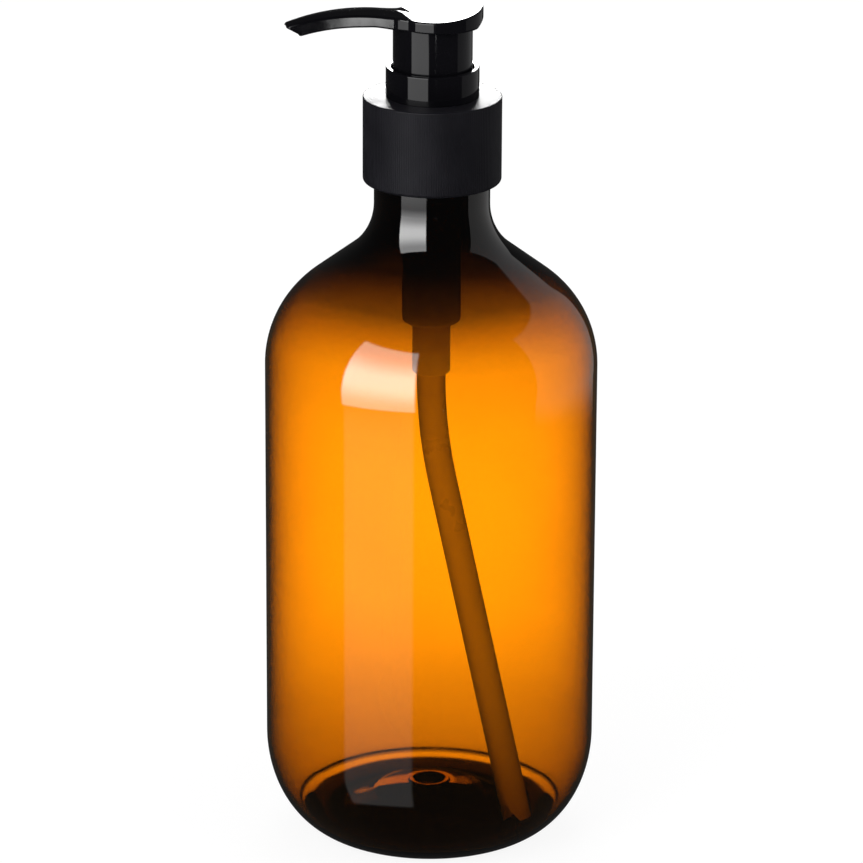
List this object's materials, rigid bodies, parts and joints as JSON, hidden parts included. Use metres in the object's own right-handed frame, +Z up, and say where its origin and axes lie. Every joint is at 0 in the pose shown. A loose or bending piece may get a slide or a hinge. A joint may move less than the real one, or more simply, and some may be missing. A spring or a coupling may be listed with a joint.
{
  "type": "pump oil bottle",
  "caption": "Amber round-shouldered bottle closed by a screw collar that holds a push-down hand pump with a turning flat beak spout for oil or lotion.",
  "frame": {"origin": "centre of the bottle's standing ring, on the surface that it stands on", "axes": "+Z up along the bottle's axis, -X along the pump's spout at rest"},
  "size_m": [0.075, 0.075, 0.1936],
  "materials": {
    "amber_clear_plastic": "clear amber blown plastic, glossy",
    "matte_black_plastic": "matte black moulded plastic with fine upright lines",
    "gloss_black_plastic": "gloss black moulded plastic",
    "natural_plastic": "undyed moulded plastic, cloudy",
    "natural_tube_plastic": "undyed extruded tube, cloudy",
    "soft_white_plastic": "soft white sealing plastic",
    "spring_steel": "bright drawn steel wire",
    "ball_steel": "polished steel ball"
  },
  "bodies": {
    "bottle": {"bottle": "amber_clear_plastic"},
    "pump_body": {"pump_housing": "natural_plastic", "chaplet": "gloss_black_plastic", "neck_gasket": "soft_white_plastic", "dip_tube": "natural_tube_plastic", "return_spring": "spring_steel"},
    "collar": {"screw_collar": "matte_black_plastic"},
    "piston": {"piston": "soft_white_plastic"},
    "head": {"actuator_head": "gloss_black_plastic", "stem": "natural_plastic", "piston_rod": "natural_plastic"},
    "inlet_ball": {"inlet_ball": "ball_steel"},
    "outlet_ball": {"outlet_ball": "ball_steel"}
  },
  "joints": [
    {"name": "pump_lift", "type": "slide", "parent": "bottle", "child": "pump_body", "axis": [0, 0, 1], "range_m": [0, 0.0064]},
    {"name": "collar_turn", "type": "hinge", "parent": "pump_body", "child": "collar", "pos_m": [0, 0, 0.1538], "axis": [0, 0, 1], "range_deg": [0, 540]},
    {"name": "pump_stroke", "type": "slide", "parent": "pump_body", "child": "piston", "axis": [0, 0, -1], "range_m": [0, 0.009], "stiffness_N_per_m": 1000, "deforming": ["return_spring"]},
    {"name": "head_turn", "type": "hinge", "parent": "piston", "child": "head", "pos_m": [0, 0, 0.1895], "axis": [0, 0, 1], "range_deg": [0, 90]},
    {"name": "inlet_ball_lift", "type": "slide", "parent": "pump_body", "child": "inlet_ball", "axis": [0, 0, 1], "range_m": [0, 0.0015]},
    {"name": "outlet_ball_lift", "type": "slide", "parent": "head", "child": "outlet_ball", "axis": [0, 0, 1], "range_m": [0, 0.0015]}
  ],
  "couplings": [
    {"joint": "pump_lift", "follows": "collar_turn", "m_per_rad": 0.00067376}
  ]
}
